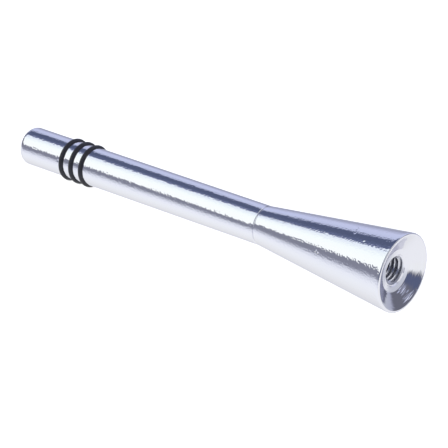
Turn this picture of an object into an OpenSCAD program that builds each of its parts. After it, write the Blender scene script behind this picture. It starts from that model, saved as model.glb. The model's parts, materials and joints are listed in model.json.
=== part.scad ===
// Short screw-on mast aerial for a car: one turned aluminium mast with three rubber rings.
// The origin is the middle of the base rim, +Z runs up the mast to its tip. Millimetres.

/* [Mast] */
// Height from the base rim to the tip
mast_h = 102; // [90:1:130]
// Diameter of the straight shaft
shaft_d = 8.5; // [7.5:0.1:10.5]
// Radius of the rounded edge at the tip
tip_round = 1.5; // [0.5:0.1:3]

/* [Flared base] */
// Diameter of the base at its rim
base_d = 16.7; // [14:0.1:22]
// Height of the flare, from the rim to the shaft
flare_h = 34.8; // [25:0.2:50]
// Radius of the rounded outer edge of the rim
rim_round = 0.25; // [0.05:0.05:0.45]
// Width of the fine groove where the flare meets the shaft
waist_groove_w = 0.3; // [0.1:0.05:0.6]
// Depth of that groove
waist_groove_depth = 0.25; // [0.05:0.05:0.4]

/* [Dished face] */
// Width of the rim that is left round the dish
rim_w = 0.65; // [0.45:0.05:1]
// Depth of the dish at the edge of its land
dish_depth = 1.75; // [0.8:0.05:3]
// Outer diameter of the land round the bore
land_d = 8.9; // [7.5:0.1:11]
// Further depth of the land at the mouth of the bore
land_drop = 0.2; // [0.1:0.05:1]

/* [Threaded bore] */
// Diameter of the bore at the bottom of its thread
bore_d = 6; // [4:0.1:6.4]
// Depth of the full bore, from its mouth
bore_depth = 12; // [8:0.5:25]
// Width of the chamfer at the mouth
mouth_chamfer = 0.35; // [0.05:0.05:0.5]
// Full angle of the drill point at the bottom
drill_angle = 118; // [90:1:140]

/* [Rubber rings] */
// Thickness of the round rubber cord
ring_cord = 1.2; // [0.7:0.05:1.4]
// How far a ring stands proud of the shaft
ring_proud = 0.5; // [0.2:0.05:0.6]
// Distance between two neighbouring rings
ring_pitch = 2.9; // [2:0.1:5]
// Distance from the tip of the mast to the middle of the first ring
ring_from_tip = 13.2; // [6:0.1:25]
// Gap between a ring and the walls of its groove
ring_clearance = 0.02; // [0.01:0.01:0.05]

/* [Hidden] */
$fn = 128;
ALUMINIUM = "#d9dae6";
RUBBER = "#1d1d21";
// How far a cutting shape runs past the face that it opens
over = 0.5;
shaft_r = shaft_d / 2;
base_r = base_d / 2;
bore_r = bore_d / 2;
land_r = land_d / 2;
dish_r = base_r - rim_w;
mouth_z = dish_depth + land_drop;
bore_end_z = mouth_z + bore_depth;
// Slope of the flare against the axis
flare_angle = atan((base_r - shaft_r) / flare_h);
// Middle of the arc that rounds the rim and meets both the flare and the flat
rim_arc_x = base_r - rim_round * (1 + sin(flare_angle)) / cos(flare_angle);
ring_groove_w = ring_cord + 2 * ring_clearance;
ring_r = shaft_r + ring_proud - ring_cord / 2;
ring_groove_r = ring_r - ring_cord / 2 - ring_clearance;
RING_SLOTS = [0:2];

// Height of the middle of one ring: slot 0 is the one nearest the tip
function ring_z(slot) = mast_h - ring_from_tip - slot * ring_pitch;

// The shaft's half outline, with its rounded tip
module shaft_outline() {
    translate([0, flare_h - over])
        square([shaft_r, mast_h - tip_round - flare_h + over]);
    translate([0, flare_h - over])
        square([shaft_r - tip_round, mast_h - flare_h + over]);
    translate([shaft_r - tip_round, mast_h - tip_round])
        circle(r = tip_round);
}

// The flare's half outline, a straight taper with a rounded rim
module flare_outline() {
    rim_side_x = rim_arc_x + rim_round * cos(flare_angle);
    rim_side_z = rim_round * (1 + sin(flare_angle));
    polygon([[0, 0], [rim_arc_x, 0], [rim_side_x, rim_side_z], [shaft_r, flare_h], [0, flare_h]]);
    translate([rim_arc_x, rim_round])
        circle(r = rim_round);
}

// The hollow in the face: a dish down to the land, then the land down to the bore
module dish_cut() {
    lip_r = dish_r + over * (dish_r - land_r) / dish_depth;
    mouth_r = bore_r + mouth_chamfer;
    rotate_extrude()
        polygon([
            [0, -over],
            [lip_r, -over],
            [land_r, dish_depth],
            [mouth_r, mouth_z],
            [bore_r, mouth_z + mouth_chamfer],
            [0, mouth_z + mouth_chamfer]
        ]);
}

// The blind bore that takes the car's threaded stud, with its drill point
module bore_cut() {
    point_h = bore_r / tan(drill_angle / 2);
    cylinder(r = bore_r, h = bore_end_z);
    translate([0, 0, bore_end_z])
        cylinder(r1 = bore_r, r2 = 0, h = point_h);
}

// The fine groove that parts the flare from the shaft, a vee that is open well past the surface
module waist_groove_cut() {
    vee_h = waist_groove_depth + over;
    vee_half_w = vee_h * waist_groove_w / 2 / waist_groove_depth;
    rotate_extrude()
        translate([shaft_r - waist_groove_depth, flare_h])
            polygon([[0, 0], [vee_h, -vee_half_w], [vee_h, vee_half_w]]);
}

// The square groove that holds one rubber ring
module ring_groove_cut(slot) {
    translate([0, 0, ring_z(slot) - ring_groove_w / 2])
        difference() {
            cylinder(r = shaft_r + over, h = ring_groove_w);
            translate([0, 0, -over])
                cylinder(r = ring_groove_r, h = ring_groove_w + 2 * over);
        }
}

// The mast, turned from one bar
module mast() {
    color(ALUMINIUM)
        difference() {
            rotate_extrude() {
                shaft_outline();
                flare_outline();
            }
            dish_cut();
            bore_cut();
            waist_groove_cut();
            for (slot = RING_SLOTS)
                ring_groove_cut(slot);
        }
}

// One rubber ring, seated in its groove
module o_ring(slot) {
    color(RUBBER)
        translate([0, 0, ring_z(slot)])
            rotate_extrude()
                translate([ring_r, 0])
                    circle(d = ring_cord, $fn = 48);
}

mast();
o_ring(0);  // tip_o_ring
o_ring(1);  // middle_o_ring
o_ring(2);  // lower_o_ring
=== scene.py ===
"""A short turned aluminium mast with three rubber rings, lying on a white table in soft studio light."""

import json
import math

import bpy
from mathutils import Matrix, Vector


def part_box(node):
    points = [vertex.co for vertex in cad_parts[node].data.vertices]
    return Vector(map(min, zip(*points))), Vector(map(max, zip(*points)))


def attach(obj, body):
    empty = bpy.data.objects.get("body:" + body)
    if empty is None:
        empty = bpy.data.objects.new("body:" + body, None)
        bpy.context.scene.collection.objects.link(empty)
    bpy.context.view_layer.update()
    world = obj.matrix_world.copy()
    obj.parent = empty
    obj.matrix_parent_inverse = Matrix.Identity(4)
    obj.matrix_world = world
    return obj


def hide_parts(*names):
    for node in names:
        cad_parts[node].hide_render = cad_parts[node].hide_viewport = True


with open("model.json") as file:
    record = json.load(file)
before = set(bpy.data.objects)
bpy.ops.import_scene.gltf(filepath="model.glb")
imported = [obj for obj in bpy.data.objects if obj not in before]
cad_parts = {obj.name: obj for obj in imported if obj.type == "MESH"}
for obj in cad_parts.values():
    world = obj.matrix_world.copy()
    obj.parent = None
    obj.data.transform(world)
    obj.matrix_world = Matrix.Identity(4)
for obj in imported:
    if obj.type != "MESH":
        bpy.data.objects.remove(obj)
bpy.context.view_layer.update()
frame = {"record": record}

MM = 0.001

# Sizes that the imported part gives
RING_NODES = ["tip_o_ring", "middle_o_ring", "lower_o_ring"]
MOUNTS = {mount["name"]: mount for mount in frame["record"]["mounts"]}
MAST_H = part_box("mast")[1].z
RING_OUT_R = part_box(RING_NODES[0])[1].x
RING_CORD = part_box(RING_NODES[0])[1].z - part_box(RING_NODES[0])[0].z
RING_Z = [sum(corner.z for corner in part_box(node)) / 2 for node in RING_NODES]
BORE_R = MOUNTS["stud_bore"]["dims"]["r_mm"] * MM

# Sizes of the turned mast, as in the part's source, but for the flare's foot, which rolls in at the rim
BASE_R = 8.35 * MM
FLARE_ROLL_H = 0.9 * MM
FLARE_ROLL_R = 5 * MM
RING_PROUD = 0.5 * MM
SHAFT_R = RING_OUT_R - RING_PROUD
TIP_ROUND = 1.5 * MM
FLARE_H = 34.8 * MM
RIM_ROUND = 0.25 * MM
WAIST_GROOVE_W = 0.3 * MM
WAIST_GROOVE_DEPTH = 0.25 * MM
DISH_DEPTH = 1.75 * MM
LAND_R = 4.45 * MM
LAND_DROP = 0.2 * MM
MOUTH_R = 3.35 * MM
BORE_DEPTH = 12 * MM
DRILL_ANGLE = math.radians(118)
RING_CLEARANCE = 0.02 * MM
DISH_R = 7.7 * MM
MOUTH_Z = DISH_DEPTH + LAND_DROP
BORE_END_Z = MOUTH_Z + BORE_DEPTH
RING_R = RING_OUT_R - RING_CORD / 2
GROOVE_R = RING_R - RING_CORD / 2 - RING_CLEARANCE
GROOVE_HALF_W = RING_CORD / 2 + RING_CLEARANCE

# Fine sizes that only the finished look needs
WAIST_SHOULDER = 0.32 * MM
DISH_WAVE = 0.006 * MM
DISH_WAVE_L = 2.1 * MM
DISH_STEPS = 24
MOUTH_LINE = 0.08 * MM
MOUTH_LIP = 0.05 * MM
EDGE_BREAK = 0.06 * MM
SUPPORT = 0.12 * MM
TURN_STEPS = 288
THREAD_PITCH = 1.0 * MM
THREAD_DEPTH = 0.54 * MM
THREAD_CREST_ROUND = 0.12 * MM
THREAD_FOOT = 0.05 * MM
THREAD_LENGTH = 10 * MM
THREAD_STEPS = 72
THREAD_FLANK = math.radians(30)
COUNTERSINK = math.radians(20)
MERGE = 0.0005 * MM

# Small dents of wear, each with its middle and its radius in millimetres. Their depth is in marks' heights.
NICKS = [
    ((-5.89, -2.31, 17.1), 0.5),
    ((-6.04, -2.12, 16.5), 0.35),
    ((-4.09, -1.16, 89.8), 0.45),
    ((-2.06, -6.86, 10.1), 0.35),
    ((-1.25, -7.03, 10.3), 0.35),
    ((-0.37, -7.11, 10.5), 0.35),
    ((-3.67, -6.61, 6.7), 0.4),
    ((4.68, 5.78, 0.15), 0.4),
]
NICK_DEPTH = 2.0

# Colours of the metal and the rubber, and how rough the polish is: the share of the marks, then the least
ALUMINIUM = (0.9, 0.9, 0.935)
# The thread flanks' darker metal: its darkness is painted shade in the grooves
DULL_SHADED_ALUMINIUM = (0.70, 0.71, 0.76)
GRAZING_TINT = (0.82, 0.82, 0.86)
RUBBER_DARK = (0.030, 0.029, 0.036)
RUBBER_PALE = (0.055, 0.053, 0.063)
POLISH_ROUGHNESS = (0.02, 0.015)

# The camera and the table, in the mast's own frame
CAMERA_PLACE = Vector((-308.785, -216.042, -224.588)) * MM
CAMERA_RIGHT = Vector((0.63904699, 0.04771947, -0.76768601))
CAMERA_UP = Vector((0.38912299, -0.88098701, 0.26915645))
CAMERA_BACK = Vector((-0.66347739, -0.47072789, -0.58156084))
CAMERA_LENS = 178.606
TABLE_UP = Vector((0, -0.99905, -0.04349))
TOWARD_CAMERA = Vector((-1, 0, 0))
TIPWARD = Vector((0, 0, 1))
TABLE_GAP = 8.24 * MM
TABLE_SIZE = 3.0


def select_only(piece):
    bpy.ops.object.select_all(action="DESELECT")
    piece.select_set(True)
    bpy.context.view_layer.objects.active = piece


def arc(centre, radius, start, end, steps):
    """Points of an arc in the outline plane, from one angle to another in degrees."""
    points = []
    for step in range(steps + 1):
        angle = math.radians(start + (end - start) * step / steps)
        points.append((centre[0] + radius * math.cos(angle), centre[1] + radius * math.sin(angle)))
    return points


def draw_chain(name, outline):
    """Draws (radius, height) points as a chain of edges, and leaves it in edit mode."""
    bpy.ops.object.select_all(action="DESELECT")
    bpy.ops.mesh.primitive_plane_add(size=MM, location=(0, 0, 0))
    piece = bpy.context.object
    piece.name = piece.data.name = name
    bpy.ops.object.mode_set(mode="EDIT")
    bpy.ops.mesh.select_all(action="SELECT")
    bpy.ops.mesh.merge(type="CENTER")
    bpy.ops.transform.translate(value=(outline[0][0], 0, outline[0][1]))
    for (r_from, z_from), (r_to, z_to) in zip(outline, outline[1:]):
        step = (r_to - r_from, 0, z_to - z_from)
        bpy.ops.mesh.extrude_vertices_move(TRANSFORM_OT_translate={"value": step})
    return piece


def turn(name, outline, steps=TURN_STEPS):
    """Spins a half outline about the axis."""
    piece = draw_chain(name, outline)
    bpy.ops.mesh.select_all(action="SELECT")
    bpy.ops.mesh.spin(steps=steps, angle=math.tau, center=(0, 0, 0), axis=(0, 0, 1))
    close_mesh()
    bpy.ops.object.mode_set(mode="OBJECT")
    return piece


def close_mesh():
    """Merges what coincides in the mesh that is being edited, and turns its faces outwards."""
    bpy.ops.mesh.select_all(action="SELECT")
    bpy.ops.mesh.remove_doubles(threshold=MERGE)
    bpy.ops.mesh.normals_make_consistent(inside=False)


def cut(piece, tool):
    """Takes the tool's shape out of the piece, and deletes the tool."""
    select_only(piece)
    modifier = piece.modifiers.new("cut", "BOOLEAN")
    modifier.operation = "DIFFERENCE"
    modifier.solver = "EXACT"
    modifier.object = tool
    bpy.ops.object.modifier_apply(modifier=modifier.name)
    select_only(tool)
    bpy.ops.object.delete()


def finish_shading(piece, sharp_from=math.radians(15)):
    select_only(piece)
    bpy.ops.object.shade_smooth_by_angle(angle=sharp_from)
    modifier = piece.modifiers.new("weighted_normals", "WEIGHTED_NORMAL")
    modifier.keep_sharp = True
    modifier.weight = 100
    bpy.ops.object.modifier_apply(modifier=modifier.name)


def ring_groove_outline(z):
    """One square groove with its two edges just broken, from the tip side to the base side."""
    top = z + GROOVE_HALF_W
    bottom = z - GROOVE_HALF_W
    return [
        (SHAFT_R, top + EDGE_BREAK + SUPPORT),
        (SHAFT_R, top + EDGE_BREAK),
        (SHAFT_R - EDGE_BREAK, top),
        (GROOVE_R, top),
        (GROOVE_R, bottom),
        (SHAFT_R - EDGE_BREAK, bottom),
        (SHAFT_R, bottom - EDGE_BREAK),
        (SHAFT_R, bottom - EDGE_BREAK - SUPPORT),
    ]


def flare_radius(z):
    return SHAFT_R + (BASE_R - SHAFT_R) * (FLARE_H - z) / FLARE_H


def waist_shoulder():
    """The flare's soft shoulder, from the bottom of the waist groove up to the straight taper."""
    points = []
    for step in range(9):
        left = 1 - step / 8
        z = FLARE_H - WAIST_SHOULDER * step / 8
        points.append((flare_radius(z) - WAIST_GROOVE_DEPTH * left * left, z))
    return points + [(flare_radius(z - SUPPORT), z - SUPPORT)]


def dish_outline():
    """Points down the dish, whose wall waves very slightly, as the tool left it."""
    points = []
    start, end = DISH_R - EDGE_BREAK - 2 * SUPPORT, LAND_R + 2 * SUPPORT
    for step in range(DISH_STEPS + 1):
        r = start + (end - start) * step / DISH_STEPS
        wave = DISH_WAVE * math.cos(math.tau * (r - LAND_R) / DISH_WAVE_L)
        points.append((r, DISH_DEPTH * (DISH_R - r) / (DISH_R - LAND_R) + wave))
    return points


def mast_outline():
    """The whole half section, from the middle of the tip round to the end of the drill point."""
    lean = math.atan2(BASE_R - SHAFT_R, FLARE_H)
    points = [(0, MAST_H), (SHAFT_R - TIP_ROUND - SUPPORT, MAST_H)]
    points += arc((SHAFT_R - TIP_ROUND, MAST_H - TIP_ROUND), TIP_ROUND, 90, 0, 16)
    points += [(SHAFT_R, MAST_H - TIP_ROUND - SUPPORT)]
    for z in RING_Z:
        points += ring_groove_outline(z)
    vee_top = FLARE_H + WAIST_GROOVE_W / 2
    points += [
        (SHAFT_R, vee_top + SUPPORT),
        (SHAFT_R, vee_top),
        *waist_shoulder(),
        (flare_radius(FLARE_ROLL_H + SUPPORT), FLARE_ROLL_H + SUPPORT),
    ]
    roll_r = flare_radius(FLARE_ROLL_H) - FLARE_ROLL_R * math.cos(lean)
    roll_z = FLARE_ROLL_H - FLARE_ROLL_R * math.sin(lean)
    points += arc((roll_r, roll_z), FLARE_ROLL_R, math.degrees(lean), 0, 6)
    rim_arc_r = roll_r + FLARE_ROLL_R - RIM_ROUND
    points += arc((rim_arc_r, RIM_ROUND), RIM_ROUND, 0, -90, 16)
    points += [
        (DISH_R + EDGE_BREAK / 2, 0),
        (DISH_R - EDGE_BREAK / 2, EDGE_BREAK / 2),
        (DISH_R - EDGE_BREAK / 2 - SUPPORT, EDGE_BREAK / 2 + SUPPORT * DISH_DEPTH / (DISH_R - LAND_R)),
        *dish_outline(),
        (LAND_R + SUPPORT, DISH_DEPTH - SUPPORT * DISH_DEPTH / (DISH_R - LAND_R)),
        (LAND_R, DISH_DEPTH),
        (MOUTH_R, MOUTH_Z),
        (MOUTH_R - MOUTH_LINE, MOUTH_Z + MOUTH_LINE),
        (BORE_R + MOUTH_LIP, MOUTH_Z + MOUTH_LINE + MOUTH_LIP / 2),
        (BORE_R, MOUTH_Z + MOUTH_LINE + 1.5 * MOUTH_LIP),
        (BORE_R, BORE_END_Z),
        (0, BORE_END_Z + BORE_R / math.tan(DRILL_ANGLE / 2)),
    ]
    return points


def thread_ridge():
    """The ridge of the bore's thread: one tooth swept round the axis, then countersunk at the mouth."""
    foot_r = BORE_R + THREAD_FOOT
    crest_middle = (BORE_R - THREAD_DEPTH + THREAD_CREST_ROUND, MOUTH_Z - THREAD_PITCH)
    crest = arc(crest_middle, THREAD_CREST_ROUND, 240, 120, 6)
    flank_r, flank_z = crest[-1]
    foot_z = flank_z + (foot_r - flank_r) * math.tan(THREAD_FLANK)
    tooth = [*crest, (foot_r, foot_z), (foot_r, 2 * crest_middle[1] - foot_z), crest[0]]
    ridge = draw_chain("thread_ridge", tooth)
    bpy.ops.mesh.select_all(action="SELECT")
    bpy.ops.mesh.remove_doubles(threshold=MERGE)
    bpy.ops.object.mode_set(mode="OBJECT")
    screw = ridge.modifiers.new("screw", "SCREW")
    screw.axis = "Z"
    screw.angle = math.tau
    screw.screw_offset = THREAD_PITCH
    screw.iterations = round(THREAD_LENGTH / THREAD_PITCH)
    screw.steps = THREAD_STEPS
    screw.render_steps = THREAD_STEPS
    bpy.ops.object.modifier_apply(modifier=screw.name)
    bpy.ops.object.mode_set(mode="EDIT")
    bpy.ops.mesh.select_all(action="DESELECT")
    bpy.ops.mesh.select_non_manifold()
    bpy.ops.mesh.edge_face_add()
    close_mesh()
    bpy.ops.object.mode_set(mode="OBJECT")
    top_z = MOUTH_Z + MOUTH_LINE + 1.5 * MOUTH_LIP
    countersink = turn(
        "countersink",
        [
            (0, -MM),
            (MOUTH_R, -MM),
            (MOUTH_R, top_z),
            (BORE_R, top_z),
            (0, top_z + BORE_R * math.tan(COUNTERSINK)),
        ],
        96,
    )
    cut(ridge, countersink)
    return ridge


def give_faces(piece, slot, wanted):
    """Gives the material in one slot to each face whose centre is wanted."""
    select_only(piece)
    bpy.ops.object.mode_set(mode="EDIT")
    bpy.ops.mesh.select_all(action="DESELECT")
    bpy.ops.object.mode_set(mode="OBJECT")
    for face in piece.data.polygons:
        face.select = wanted(face.center.xy.length, face.center.z)
    piece.active_material_index = slot
    bpy.ops.object.mode_set(mode="EDIT")
    bpy.ops.object.material_slot_assign()
    bpy.ops.object.mode_set(mode="OBJECT")


def turned_mast(polished, faced, threaded):
    """The mast in one piece, with the thread's ridge joined to the wall of its bore."""
    mast = turn("turned_mast", mast_outline())
    for material in (polished, faced, threaded):
        mast.data.materials.append(material)
    give_faces(mast, 1, lambda radius, z: radius < DISH_R and z < MOUTH_Z + MOUTH_LIP)
    give_faces(mast, 2, lambda radius, z: radius < BORE_R and MOUTH_Z + MOUTH_LIP < z < BORE_END_Z + BORE_R)
    ridge = thread_ridge()
    ridge.data.materials.append(threaded)
    select_only(ridge)
    mast.select_set(True)
    bpy.context.view_layer.objects.active = mast
    bpy.ops.object.join()
    finish_shading(mast)
    return mast


def socket(group, name, direction, kind, value=None):
    made = group.interface.new_socket(name=name, in_out=direction, socket_type=kind)
    if value is not None:
        made.default_value = value


def math_node(nodes, links, operation, *values, clamp=False):
    """A Math node with each input linked to a socket or set to a number. Gives its output."""
    node = nodes.new("ShaderNodeMath")
    node.operation = operation
    node.use_clamp = clamp
    for place, value in enumerate(values):
        if isinstance(value, (int, float)):
            node.inputs[place].default_value = value
        else:
            links.new(value, node.inputs[place])
    return node.outputs[0]


def turning_marks_group():
    """Fine marks that the tool and the polish leave. Gives their height and a mask of them."""
    group = bpy.data.node_groups.new("turning_marks", "ShaderNodeTree")
    socket(group, "Scale along", "INPUT", "NodeSocketFloat", 2100.0)
    socket(group, "Scale round", "INPUT", "NodeSocketFloat", 2100.0)
    socket(group, "Height", "OUTPUT", "NodeSocketFloat")
    socket(group, "Mask", "OUTPUT", "NodeSocketFloat")
    nodes, links = group.nodes, group.links
    given = nodes.new("NodeGroupInput")
    out = nodes.new("NodeGroupOutput")
    place = nodes.new("ShaderNodeTexCoord")
    parts = nodes.new("ShaderNodeSeparateXYZ")
    links.new(place.outputs["Object"], parts.inputs[0])
    x, y, z = (parts.outputs[axis] for axis in "XYZ")
    radius = math_node(
        nodes, links, "SQRT",
        math_node(nodes, links, "MULTIPLY_ADD", x, x, math_node(nodes, links, "MULTIPLY", y, y)),
    )
    along = math_node(nodes, links, "SUBTRACT", z, radius)
    stretched = nodes.new("ShaderNodeCombineXYZ")
    round_scale, along_scale = given.outputs["Scale round"], given.outputs["Scale along"]
    links.new(math_node(nodes, links, "MULTIPLY", x, round_scale), stretched.inputs["X"])
    links.new(math_node(nodes, links, "MULTIPLY", y, round_scale), stretched.inputs["Y"])
    links.new(math_node(nodes, links, "MULTIPLY", along, along_scale), stretched.inputs["Z"])
    noise = nodes.new("ShaderNodeTexNoise")
    noise.inputs["Scale"].default_value = 1.0
    noise.inputs["Detail"].default_value = 0.0
    noise.inputs["Roughness"].default_value = 0.5
    links.new(stretched.outputs[0], noise.inputs["Vector"])
    links.new(noise.outputs["Fac"], out.inputs["Height"])
    links.new(math_node(nodes, links, "MULTIPLY_ADD", noise.outputs["Fac"], 4.0, -1.5, clamp=True),
              out.inputs["Mask"])
    return group


def small_nicks_group():
    """The few small dents that the metal has picked up. Gives their height, below zero inside a dent."""
    group = bpy.data.node_groups.new("small_nicks", "ShaderNodeTree")
    socket(group, "Height", "OUTPUT", "NodeSocketFloat")
    nodes, links = group.nodes, group.links
    out = nodes.new("NodeGroupOutput")
    surface = nodes.new("ShaderNodeTexCoord").outputs["Object"]
    total = 0.0
    for middle, radius in NICKS:
        away = nodes.new("ShaderNodeVectorMath")
        away.operation = "DISTANCE"
        away.inputs[1].default_value = Vector(middle) * MM
        links.new(surface, away.inputs[0])
        dent = nodes.new("ShaderNodeMapRange")
        dent.interpolation_type = "SMOOTHSTEP"
        links.new(away.outputs["Value"], dent.inputs["Value"])
        dent.inputs["From Max"].default_value = radius * MM
        dent.inputs["To Min"].default_value = -NICK_DEPTH
        dent.inputs["To Max"].default_value = 0.0
        total = math_node(nodes, links, "ADD", dent.outputs["Result"], total)
    links.new(total, out.inputs["Height"])
    return group


def new_material(name):
    """Gives a new material, its tree and its Principled shader."""
    material = bpy.data.materials.new(name)
    material.use_nodes = True
    tree = material.node_tree
    return material, tree, tree.nodes["Principled BSDF"]


def bare_aluminium(name, marks, nicks, scale_along, scale_round, height):
    """Bright bare aluminium, with its own scales and height of the tool marks."""
    material, tree, shader = new_material(name)
    nodes, links = tree.nodes, tree.links
    shader.inputs["Metallic"].default_value = 1.0
    shader.inputs["Specular Tint"].default_value = (*GRAZING_TINT, 1)
    shader.inputs["Base Color"].default_value = (*ALUMINIUM, 1)
    turned = nodes.new("ShaderNodeGroup")
    turned.node_tree = marks
    turned.inputs["Scale along"].default_value = scale_along
    turned.inputs["Scale round"].default_value = scale_round
    bump = nodes.new("ShaderNodeBump")
    bump.inputs["Strength"].default_value = 1.0
    bump.inputs["Distance"].default_value = height
    nicked = nodes.new("ShaderNodeGroup")
    nicked.node_tree = nicks
    relief = math_node(nodes, links, "ADD", turned.outputs["Height"], nicked.outputs["Height"])
    links.new(relief, bump.inputs["Height"])
    links.new(bump.outputs["Normal"], shader.inputs["Normal"])
    roughness = math_node(nodes, links, "MULTIPLY_ADD", turned.outputs["Mask"], *POLISH_ROUGHNESS)
    links.new(roughness, shader.inputs["Roughness"])
    return material


def cut_thread(marks):
    """The same metal as the tap leaves it: dull down the flanks and rubbed bright along the crests. Its
    colour is also darker down the flanks, away from the crests, as painted shade in the thread's grooves.
    """
    material, tree, shader = new_material("cut_thread")
    nodes, links = tree.nodes, tree.links
    shader.inputs["Metallic"].default_value = 1.0
    place = nodes.new("ShaderNodeTexCoord")
    flat = nodes.new("ShaderNodeVectorMath")
    flat.operation = "MULTIPLY"
    flat.inputs[1].default_value = (1, 1, 0)
    links.new(place.outputs["Object"], flat.inputs[0])
    radius = nodes.new("ShaderNodeVectorMath")
    radius.operation = "LENGTH"
    links.new(flat.outputs[0], radius.inputs[0])
    flank = nodes.new("ShaderNodeMapRange")
    links.new(radius.outputs["Value"], flank.inputs["Value"])
    flank.inputs["From Min"].default_value = BORE_R - THREAD_DEPTH + 0.5 * THREAD_CREST_ROUND
    flank.inputs["From Max"].default_value = BORE_R - THREAD_DEPTH + 1.5 * THREAD_CREST_ROUND
    turned = nodes.new("ShaderNodeGroup")
    turned.node_tree = marks
    dull_and_shaded = math_node(
        nodes, links, "MULTIPLY_ADD", turned.outputs["Mask"], 0.3, flank.outputs["Result"], clamp=True,
    )
    # The flanks' darker colour is painted shade in the thread's grooves; their greater roughness is the real
    # torn finish
    tone = nodes.new("ShaderNodeMix")
    tone.data_type = "RGBA"
    tone.inputs["A"].default_value = (*ALUMINIUM, 1)
    tone.inputs["B"].default_value = (*DULL_SHADED_ALUMINIUM, 1)
    links.new(dull_and_shaded, tone.inputs["Factor"])
    links.new(tone.outputs["Result"], shader.inputs["Base Color"])
    links.new(math_node(nodes, links, "MULTIPLY_ADD", dull_and_shaded, 0.26, 0.08), shader.inputs["Roughness"])
    return material


def black_rubber():
    material, tree, shader = new_material("black_rubber")
    nodes, links = tree.nodes, tree.links
    place = nodes.new("ShaderNodeTexCoord")
    grain = nodes.new("ShaderNodeTexNoise")
    grain.inputs["Scale"].default_value = 2500.0
    grain.inputs["Detail"].default_value = 3.0
    links.new(place.outputs["Object"], grain.inputs["Vector"])
    tone = nodes.new("ShaderNodeMix")
    tone.data_type = "RGBA"
    tone.inputs["A"].default_value = (*RUBBER_DARK, 1)
    tone.inputs["B"].default_value = (*RUBBER_PALE, 1)
    links.new(grain.outputs["Fac"], tone.inputs["Factor"])
    links.new(tone.outputs["Result"], shader.inputs["Base Color"])
    links.new(math_node(nodes, links, "MULTIPLY_ADD", grain.outputs["Fac"], 0.2, 0.38),
              shader.inputs["Roughness"])
    bump = nodes.new("ShaderNodeBump")
    bump.inputs["Strength"].default_value = 0.5
    bump.inputs["Distance"].default_value = 0.00001
    links.new(grain.outputs["Fac"], bump.inputs["Height"])
    links.new(bump.outputs["Normal"], shader.inputs["Normal"])
    return material


def table_material():
    """White paper that shows only its faint shadow to the camera, and nothing from below."""
    material = bpy.data.materials.new("white_table")
    material.use_nodes = True
    tree = material.node_tree
    nodes, links = tree.nodes, tree.links
    nodes.clear()
    out = nodes.new("ShaderNodeOutputMaterial")
    path = nodes.new("ShaderNodeLightPath")
    side = nodes.new("ShaderNodeNewGeometry")
    paper = nodes.new("ShaderNodeBsdfDiffuse")
    paper.inputs["Color"].default_value = (0.8, 0.8, 0.8, 1)
    glow = nodes.new("ShaderNodeEmission")
    glow.inputs["Color"].default_value = (1, 1, 1, 1)
    glow.inputs["Strength"].default_value = 0.85
    shown = nodes.new("ShaderNodeAddShader")
    links.new(paper.outputs[0], shown.inputs[0])
    links.new(glow.outputs[0], shown.inputs[1])
    seen = nodes.new("ShaderNodeMixShader")
    links.new(path.outputs["Is Camera Ray"], seen.inputs["Fac"])
    links.new(paper.outputs[0], seen.inputs[1])
    links.new(shown.outputs[0], seen.inputs[2])
    clear = nodes.new("ShaderNodeBsdfTransparent")
    mirrored = math_node(
        nodes, links, "MAXIMUM", path.outputs["Is Glossy Ray"], path.outputs["Is Transmission Ray"],
    )
    hidden = math_node(nodes, links, "MAXIMUM", side.outputs["Backfacing"], mirrored)
    mix = nodes.new("ShaderNodeMixShader")
    links.new(hidden, mix.inputs["Fac"])
    links.new(seen.outputs[0], mix.inputs[1])
    links.new(clear.outputs[0], mix.inputs[2])
    links.new(mix.outputs[0], out.inputs["Surface"])
    return material


# What the metal mirrors, by the angle round the mast: 0 is straight up, 90 is level toward the camera.
# Each entry is (angle in degrees, colour of the light there).
ABOVE = [
    (-180, (0.89, 0.90, 0.91)),
    (-138, (0.88, 0.89, 0.91)),
    (-122, (0.63, 0.66, 0.73)),
    (-108, (0.54, 0.56, 0.64)),
    (-92, (0.39, 0.41, 0.54)),
    (-66, (0.62, 0.66, 0.89)),
    (-46, (0.57, 0.62, 0.84)),
    (-39, (0.45, 0.49, 0.68)),
    (-33, (0.09, 0.11, 0.195)),
    (-14, (0.09, 0.11, 0.195)),
    (-2, (0.12, 0.145, 0.26)),
    (3, (0.21, 0.24, 0.39)),
    (7, (0.82, 0.89, 1.0)),
    (30, (1.02, 1.09, 1.07)),
    (50, (1.06, 1.10, 1.09)),
]
BELOW = [
    (80, (0.235, 0.245, 0.31)),
    (90, (0.24, 0.25, 0.32)),
    (95, (0.34, 0.355, 0.435)),
    (100, (0.53, 0.55, 0.65)),
    (106, (0.71, 0.735, 0.83)),
    (120, (0.89, 0.915, 0.99)),
    (138, (0.92, 0.945, 0.99)),
    (180, (0.89, 0.90, 0.91)),
]
HORIZON = (0.15, 0.155, 0.20)
GAP = (0.10, 0.12, 0.21)
TABLE_NEAR = (0.90, 0.91, 0.945)
# The softbox's lower edge, where it starts and ends, and how far it hangs askew toward the tip, in degrees
SOFTBOX_EDGE = (74, 78)
SOFTBOX_ASKEW = 10
# Where each part of the room fades in, as shares of its directions: none at the first, all at the second
ASKEW_TIPWARD = (0.57, 0.73)
PAST_BASE = (-0.3, -0.5)
PAST_TIP = (0.78, 0.9)
LEVEL_FROM_BELOW = (-0.19, -0.02)
LEVEL_FROM_ABOVE = (0.30, 0.22)
BEHIND_TIPWARD = (0.12, -0.02)
BEHIND_TOWARD = (-0.35, -0.15)
BEHIND_UP = (-0.08, 0.02)
NEAR_TIPWARD = (-0.2, -0.4)
NEAR_UP = (-0.30, -0.42)
HIGH_TIPWARD = (-0.6, -0.75)
HIGH_UP = (0.27, 0.36)


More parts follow.
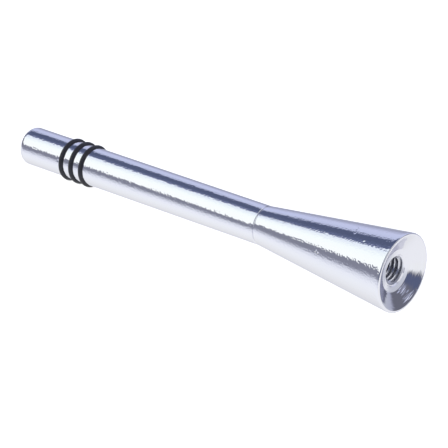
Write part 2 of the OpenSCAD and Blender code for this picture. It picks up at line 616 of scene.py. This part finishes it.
def studio_world():
    """White for the camera, and for all other rays a plain studio: softbox, dark gap, pale wall and table."""
    world = bpy.data.worlds.new("soft_studio")
    bpy.context.scene.world = world
    world.use_nodes = True
    nodes, links = world.node_tree.nodes, world.node_tree.links
    nodes.clear()
    out = nodes.new("ShaderNodeOutputWorld")
    direction = nodes.new("ShaderNodeTexCoord").outputs["Generated"]

    def share(axis):
        dot = nodes.new("ShaderNodeVectorMath")
        dot.operation = "DOT_PRODUCT"
        dot.inputs[1].default_value = axis
        links.new(direction, dot.inputs[0])
        return dot.outputs["Value"]

    def step(value, start, end, low=0.0, high=1.0, smooth=True):
        node = nodes.new("ShaderNodeMapRange")
        node.interpolation_type = "SMOOTHSTEP" if smooth else "LINEAR"
        links.new(value, node.inputs["Value"])
        for name, number in (("From Min", start), ("From Max", end), ("To Min", low), ("To Max", high)):
            node.inputs[name].default_value = number
        return node.outputs["Result"]

    def ramp(entries, place):
        node = nodes.new("ShaderNodeValToRGB")
        stops = node.color_ramp.elements
        stops.remove(stops[1])
        stops[0].position, stops[0].color = entries[0][0] / 360 + 0.5, (*entries[0][1], 1)
        for degrees, colour in entries[1:]:
            stops.new(degrees / 360 + 0.5).color = (*colour, 1)
        links.new(place, node.inputs["Fac"])
        return node.outputs["Color"]

    def mix(factor, colour, other):
        node = nodes.new("ShaderNodeMix")
        node.data_type = "RGBA"
        links.new(factor, node.inputs["Factor"])
        links.new(colour, node.inputs["A"])
        if isinstance(other, tuple):
            node.inputs["B"].default_value = (*other, 1)
        else:
            links.new(other, node.inputs["B"])
        return node.outputs["Result"]

    up, toward, tipward = share(TABLE_UP), share(TOWARD_CAMERA), share(TIPWARD)
    angle = math_node(nodes, links, "ARCTAN2", toward, up)
    place = math_node(nodes, links, "MULTIPLY_ADD", angle, 1 / math.tau, 0.5)
    # The softbox hangs askew, so its lower edge comes nearer to level toward the tip
    askew = step(tipward, *ASKEW_TIPWARD, 0.0, SOFTBOX_ASKEW / 360, smooth=False)
    edge = math_node(nodes, links, "ADD", place, askew)
    below = step(edge, *(degrees / 360 + 0.5 for degrees in SOFTBOX_EDGE))
    colour = mix(below, ramp(ABOVE, place), ramp(BELOW, place))
    # Past both ends of the mast the room is dark at eye level, and it is dark behind the camera
    ends = math_node(
        nodes, links, "MAXIMUM", step(tipward, *PAST_BASE), step(tipward, *PAST_TIP),
    )
    level = math_node(nodes, links, "MULTIPLY", step(up, *LEVEL_FROM_BELOW), step(up, *LEVEL_FROM_ABOVE))
    colour = mix(math_node(nodes, links, "MULTIPLY", ends, level), colour, HORIZON)
    behind = math_node(
        nodes, links, "MULTIPLY", step(tipward, *BEHIND_TIPWARD),
        math_node(nodes, links, "MULTIPLY", step(toward, *BEHIND_TOWARD), step(up, *BEHIND_UP)),
    )
    colour = mix(behind, colour, GAP)
    # The near table is bright, and so is the wall high past the base
    near = math_node(
        nodes, links, "MAXIMUM",
        math_node(nodes, links, "MULTIPLY", step(tipward, *NEAR_TIPWARD), step(up, *NEAR_UP)),
        math_node(nodes, links, "MULTIPLY", step(tipward, *HIGH_TIPWARD), step(up, *HIGH_UP)),
    )
    colour = mix(near, colour, TABLE_NEAR)
    studio = nodes.new("ShaderNodeBackground")
    links.new(colour, studio.inputs["Color"])
    white = nodes.new("ShaderNodeBackground")
    white.inputs["Color"].default_value = (1, 1, 1, 1)
    path = nodes.new("ShaderNodeLightPath")
    shown = nodes.new("ShaderNodeMixShader")
    links.new(path.outputs["Is Camera Ray"], shown.inputs["Fac"])
    links.new(studio.outputs[0], shown.inputs[1])
    links.new(white.outputs[0], shown.inputs[2])
    links.new(shown.outputs[0], out.inputs["Surface"])


def table():
    """The white table that the mast lies on, square to its own up direction."""
    bpy.ops.object.select_all(action="DESELECT")
    turned = Matrix((TOWARD_CAMERA, TABLE_UP.cross(TOWARD_CAMERA), TABLE_UP)).transposed()
    bpy.ops.mesh.primitive_plane_add(
        size=TABLE_SIZE, location=-TABLE_UP * TABLE_GAP, rotation=turned.to_euler(),
    )
    top = bpy.context.object
    top.name = top.data.name = "white_table"
    bpy.ops.object.transform_apply(location=True, rotation=True, scale=True)
    top.data.materials.append(table_material())


def camera():
    data = bpy.data.cameras.new("camera")
    data.lens = CAMERA_LENS
    data.sensor_width = 36
    data.clip_start = 0.01
    data.clip_end = 10
    made = bpy.data.objects.new("camera", data)
    bpy.context.scene.collection.objects.link(made)
    turned = Matrix((CAMERA_RIGHT, CAMERA_UP, CAMERA_BACK)).transposed().to_4x4()
    made.matrix_world = Matrix.Translation(CAMERA_PLACE) @ turned
    bpy.context.scene.camera = made


def ring_outline(z):
    return [(RING_R + RING_CORD / 2 * math.cos(a), z + RING_CORD / 2 * math.sin(a))
            for a in (math.tau * step / 32 for step in range(33))]


camera()
studio_world()
table()
bpy.context.scene.view_settings.view_transform = "Standard"

marks = turning_marks_group()
nicks = small_nicks_group()
polished = bare_aluminium(
    "polished_aluminium", marks, nicks, scale_along=2400, scale_round=2600, height=0.026 * MM,
)
faced = bare_aluminium(
    "faced_aluminium", marks, nicks, scale_along=3200, scale_round=800, height=0.015 * MM,
)
thread = cut_thread(marks)
rubber = black_rubber()

mast = turned_mast(polished, faced, thread)
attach(mast, "root")
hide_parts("mast")

for node, z in zip(RING_NODES, RING_Z):
    ring = turn("rubber_" + node, ring_outline(z), 192)
    select_only(ring)
    bpy.ops.object.shade_smooth()
    ring.data.materials.append(rubber)
    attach(ring, "root")
    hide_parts(node)
